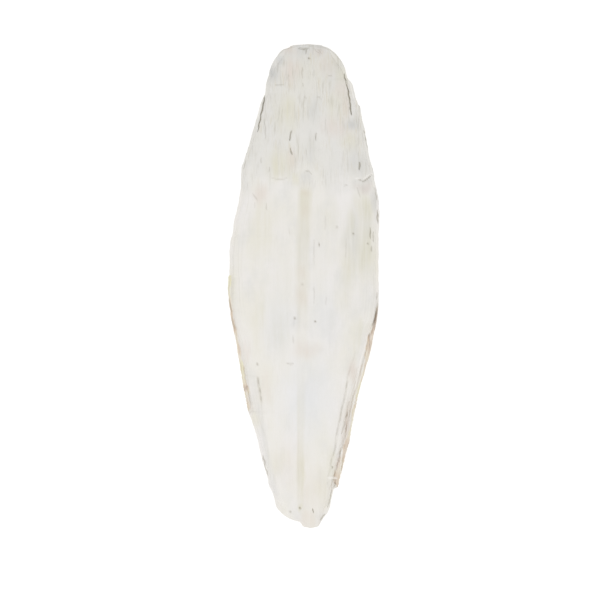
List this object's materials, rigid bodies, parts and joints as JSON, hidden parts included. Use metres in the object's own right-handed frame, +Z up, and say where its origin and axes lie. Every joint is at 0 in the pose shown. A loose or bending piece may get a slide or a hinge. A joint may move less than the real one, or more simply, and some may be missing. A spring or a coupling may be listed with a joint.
{
  "type": "cuttlebone",
  "caption": "Dry chalky cuttlebone lying on its domed back, with a blunt front end, a tapered broken tail and a thin horny rim.",
  "frame": {"origin": "on the table under the middle of the bone", "axes": "+Y along the bone to its blunt front end, +X to the right as seen from above, +Z up out of the chalky belly"},
  "size_m": [0.0504, 0.16, 0.017],
  "materials": {
    "cuttlebone": "matte"
  },
  "bodies": {
    "root": {"cuttlebone": "cuttlebone"}
  },
  "joints": []
}
